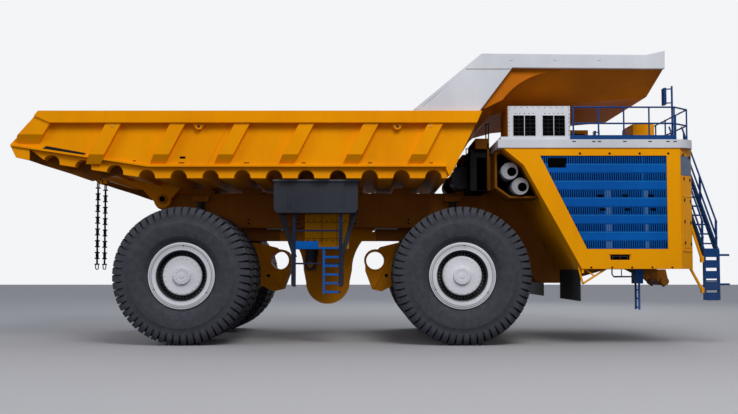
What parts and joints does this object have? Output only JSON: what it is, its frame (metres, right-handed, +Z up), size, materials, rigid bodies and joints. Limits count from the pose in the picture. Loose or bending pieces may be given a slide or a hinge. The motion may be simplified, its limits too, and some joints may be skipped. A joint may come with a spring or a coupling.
{
  "type": "mining dump truck",
  "caption": "Rigid-frame mining haul truck with tilting dump body and canopy, twin tyres at every corner, steered axles, hoists, deck, cab and stairs.",
  "frame": {"origin": "on the ground, under the middle of the truck's box", "axes": "+X towards the front of the truck, +Y to its left, +Z up"},
  "size_m": [20.6, 9.87, 8.39],
  "materials": {
    "frame_paint": "satin orange chassis paint",
    "bed_paint": "satin orange yellow paint",
    "body_paint": "gloss yellow paint",
    "white_paint": "satin white paint",
    "grille_paint": "satin blue paint",
    "rail_paint": "gloss dark blue paint",
    "tank_paint": "satin dark grey paint",
    "engine": "painted iron",
    "duct": "light grey paint",
    "strut": "dark steel",
    "hoist_barrel": "dark paint",
    "hoist_rod": "polished",
    "rim": "silver grey paint",
    "tyre": "matt rubber",
    "flap": "matt rubber sheet",
    "chain": "black",
    "seat": "dark cloth",
    "lamp": "clear lens",
    "cab_glass": "tinted glass"
  },
  "bodies": {
    "chassis": {"frame": "frame_paint", "keel": "frame_paint", "bolsters": "frame_paint", "struts": "strut", "tanks": "tank_paint", "side_steps": "rail_paint", "deck": "white_paint", "side_panels": "body_paint", "side_grilles": "grille_paint", "bay_floor": "frame_paint", "front_panel": "body_paint", "front_grille": "grille_paint", "engines": "engine", "duct_housings": "frame_paint", "air_ducts": "duct", "cabinet": "white_paint", "cab_shell": "body_paint", "cab_glass": "cab_glass", "cab_seat": "seat", "handrails": "rail_paint", "intake_box": "body_paint", "mirrors": "rail_paint", "lamps": "lamp", "mudflaps": "flap", "front_stair": "rail_paint", "service_ladder": "rail_paint"},
    "door": {"cab_door": "body_paint"},
    "front_axle_body": {"front_axle": "frame_paint"},
    "rear_axle_body": {"rear_axle": "frame_paint"},
    "dump_body": {"bed_floor_plate": "bed_paint", "bed_beams": "bed_paint", "bed_side_right": "bed_paint", "bed_side_left": "bed_paint", "canopy": "bed_paint", "canopy_sides": "white_paint"},
    "tail_chains": {"chains": "chain"},
    "wheel_front_right": {"tyres_front_right": "tyre", "rim_front_right": "rim"},
    "wheel_front_left": {"tyres_front_left": "tyre", "rim_front_left": "rim"},
    "wheel_rear_right": {"tyres_rear_right": "tyre", "rim_rear_right": "rim"},
    "wheel_rear_left": {"tyres_rear_left": "tyre", "rim_rear_left": "rim"},
    "barrel_right": {"hoist_barrel_right": "hoist_barrel"},
    "stage_right": {"hoist_stage_right": "hoist_rod"},
    "rod_right": {"hoist_rod_right": "hoist_rod"},
    "barrel_left": {"hoist_barrel_left": "hoist_barrel"},
    "stage_left": {"hoist_stage_left": "hoist_rod"},
    "rod_left": {"hoist_rod_left": "hoist_rod"}
  },
  "joints": [
    {"name": "front_steer", "type": "hinge", "parent": "chassis", "child": "front_axle_body", "pos_m": [2.6, 0, 3.2], "axis": [0, 0, 1], "range_deg": [-12, 12]},
    {"name": "rear_steer", "type": "hinge", "parent": "chassis", "child": "rear_axle_body", "pos_m": [-5.4, 0, 3.2], "axis": [0, 0, 1], "range_deg": [-12, 12]},
    {"name": "body_tilt", "type": "hinge", "parent": "chassis", "child": "dump_body", "pos_m": [-6.6, 0, 4.38], "axis": [0, -1, 0], "range_deg": [0, 47]},
    {"name": "chain_hang", "type": "hinge", "parent": "dump_body", "child": "tail_chains", "pos_m": [-8.85, 0, 5.08], "axis": [0, -1, 0], "range_deg": [-48, 1]},
    {"name": "door_swing", "type": "hinge", "parent": "chassis", "child": "door", "pos_m": [6.15, 2.975, 6.4], "axis": [0, 0, -1], "range_deg": [0, 95]},
    {"name": "roll_front_right", "type": "hinge", "parent": "front_axle_body", "child": "wheel_front_right", "pos_m": [2.6, -3.1, 1.975], "axis": [0, 1, 0], "continuous": true},
    {"name": "roll_front_left", "type": "hinge", "parent": "front_axle_body", "child": "wheel_front_left", "pos_m": [2.6, 3.1, 1.975], "axis": [0, 1, 0], "continuous": true},
    {"name": "roll_rear_right", "type": "hinge", "parent": "rear_axle_body", "child": "wheel_rear_right", "pos_m": [-5.4, -3.1, 1.975], "axis": [0, 1, 0], "continuous": true},
    {"name": "roll_rear_left", "type": "hinge", "parent": "rear_axle_body", "child": "wheel_rear_left", "pos_m": [-5.4, 3.1, 1.975], "axis": [0, 1, 0], "continuous": true},
    {"name": "hoist_swing_right", "type": "hinge", "parent": "chassis", "child": "barrel_right", "pos_m": [-1.9, -1.33, 2.3], "axis": [0, -1, 0], "range_deg": [-1, 23]},
    {"name": "hoist_stage_right", "type": "slide", "parent": "barrel_right", "child": "stage_right", "axis": [0.1168, 0, 0.9932], "range_m": [-0.01, 1.91]},
    {"name": "hoist_rod_right", "type": "slide", "parent": "stage_right", "child": "rod_right", "axis": [0.1168, 0, 0.9932], "range_m": [-0.01, 1.91]},
    {"name": "hoist_swing_left", "type": "hinge", "parent": "chassis", "child": "barrel_left", "pos_m": [-1.9, 1.33, 2.3], "axis": [0, -1, 0], "range_deg": [-1, 23]},
    {"name": "hoist_stage_left", "type": "slide", "parent": "barrel_left", "child": "stage_left", "axis": [0.1168, 0, 0.9932], "range_m": [-0.01, 1.91]},
    {"name": "hoist_rod_left", "type": "slide", "parent": "stage_left", "child": "rod_left", "axis": [0.1168, 0, 0.9932], "range_m": [-0.01, 1.91]}
  ],
  "couplings": [
    {"joint": "rear_steer", "follows": "front_steer", "ratio": -1},
    {"joint": "chain_hang", "follows": "body_tilt", "ratio": -1},
    {"joint": "hoist_swing_right", "follows": "body_tilt", "ratio": 0.465},
    {"joint": "hoist_stage_right", "follows": "body_tilt", "m_per_rad": 2.3005},
    {"joint": "hoist_rod_right", "follows": "body_tilt", "m_per_rad": 2.3005},
    {"joint": "hoist_swing_left", "follows": "body_tilt", "ratio": 0.465},
    {"joint": "hoist_stage_left", "follows": "body_tilt", "m_per_rad": 2.3005},
    {"joint": "hoist_rod_left", "follows": "body_tilt", "m_per_rad": 2.3005}
  ]
}
